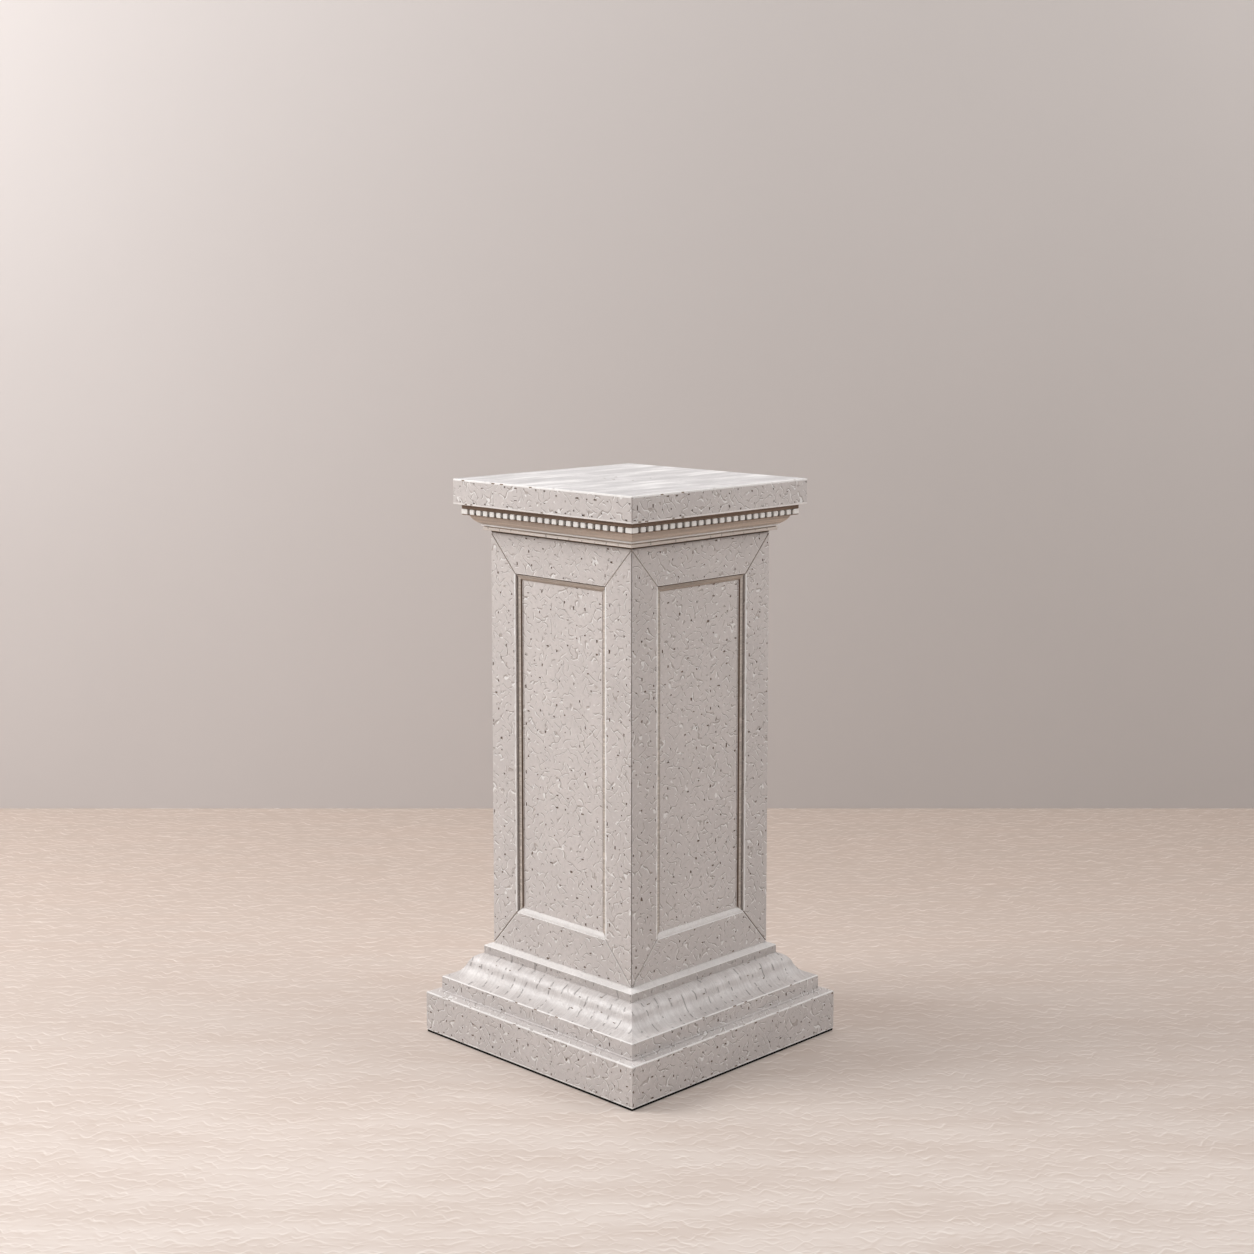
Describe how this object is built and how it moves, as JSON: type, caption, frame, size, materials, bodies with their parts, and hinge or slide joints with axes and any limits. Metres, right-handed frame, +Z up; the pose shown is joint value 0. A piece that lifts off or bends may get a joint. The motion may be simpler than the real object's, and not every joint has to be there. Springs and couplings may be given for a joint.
{
  "type": "pedestal column stand",
  "caption": "Square stone-finished display pedestal with a stepped ogee base, panelled shaft, dentilled capital and flat cap slab.",
  "frame": {"origin": "on the floor under the middle of the stand", "axes": "+Z up to the display face, -Y out of the front face, +X out of the right face"},
  "size_m": [0.518, 0.518, 1],
  "materials": {
    "cast_stone": "matte",
    "moulding_stone": "satin",
    "white_stone": "matte",
    "foot_rubber": "matte",
    "plywood": "matte",
    "batten_wood": "matte",
    "zinc_steel": "satin",
    "insert_brass": "satin"
  },
  "bodies": {
    "root": {"foot_strips": "foot_rubber", "cap_slab": "cast_stone", "top_deck": "plywood", "base_deck": "plywood", "corner_battens": "batten_wood", "plinth_corner_blocks": "batten_wood", "plinth_board_front": "cast_stone", "base_moulding_front": "cast_stone", "base_fillet_front": "cast_stone", "panel_front": "cast_stone", "panel_moulding_front": "moulding_stone", "capital_moulding_front": "moulding_stone", "dentil_ground_front": "moulding_stone", "core_board_front": "plywood", "stile_front_left": "cast_stone", "stile_front_right": "cast_stone", "rail_front_top": "cast_stone", "rail_front_bottom": "cast_stone", "plinth_board_right": "cast_stone", "base_moulding_right": "cast_stone", "base_fillet_right": "cast_stone", "panel_right": "cast_stone", "panel_moulding_right": "moulding_stone", "capital_moulding_right": "moulding_stone", "dentil_ground_right": "moulding_stone", "core_board_right": "plywood", "stile_right_left": "cast_stone", "stile_right_right": "cast_stone", "rail_right_top": "cast_stone", "rail_right_bottom": "cast_stone", "plinth_board_back": "cast_stone", "base_moulding_back": "cast_stone", "base_fillet_back": "cast_stone", "panel_back": "cast_stone", "panel_moulding_back": "moulding_stone", "capital_moulding_back": "moulding_stone", "dentil_ground_back": "moulding_stone", "core_board_back": "plywood", "stile_back_left": "cast_stone", "stile_back_right": "cast_stone", "rail_back_top": "cast_stone", "rail_back_bottom": "cast_stone", "plinth_board_left": "cast_stone", "base_moulding_left": "cast_stone", "base_fillet_left": "cast_stone", "panel_left": "cast_stone", "panel_moulding_left": "moulding_stone", "capital_moulding_left": "moulding_stone", "dentil_ground_left": "moulding_stone", "core_board_left": "plywood", "stile_left_left": "cast_stone", "stile_left_right": "cast_stone", "rail_left_top": "cast_stone", "rail_left_bottom": "cast_stone", "dentil_blocks": "white_stone", "deck_screws": "zinc_steel", "batten_screws": "zinc_steel", "cap_bolts": "zinc_steel", "cap_inserts": "insert_brass"}
  },
  "joints": []
}
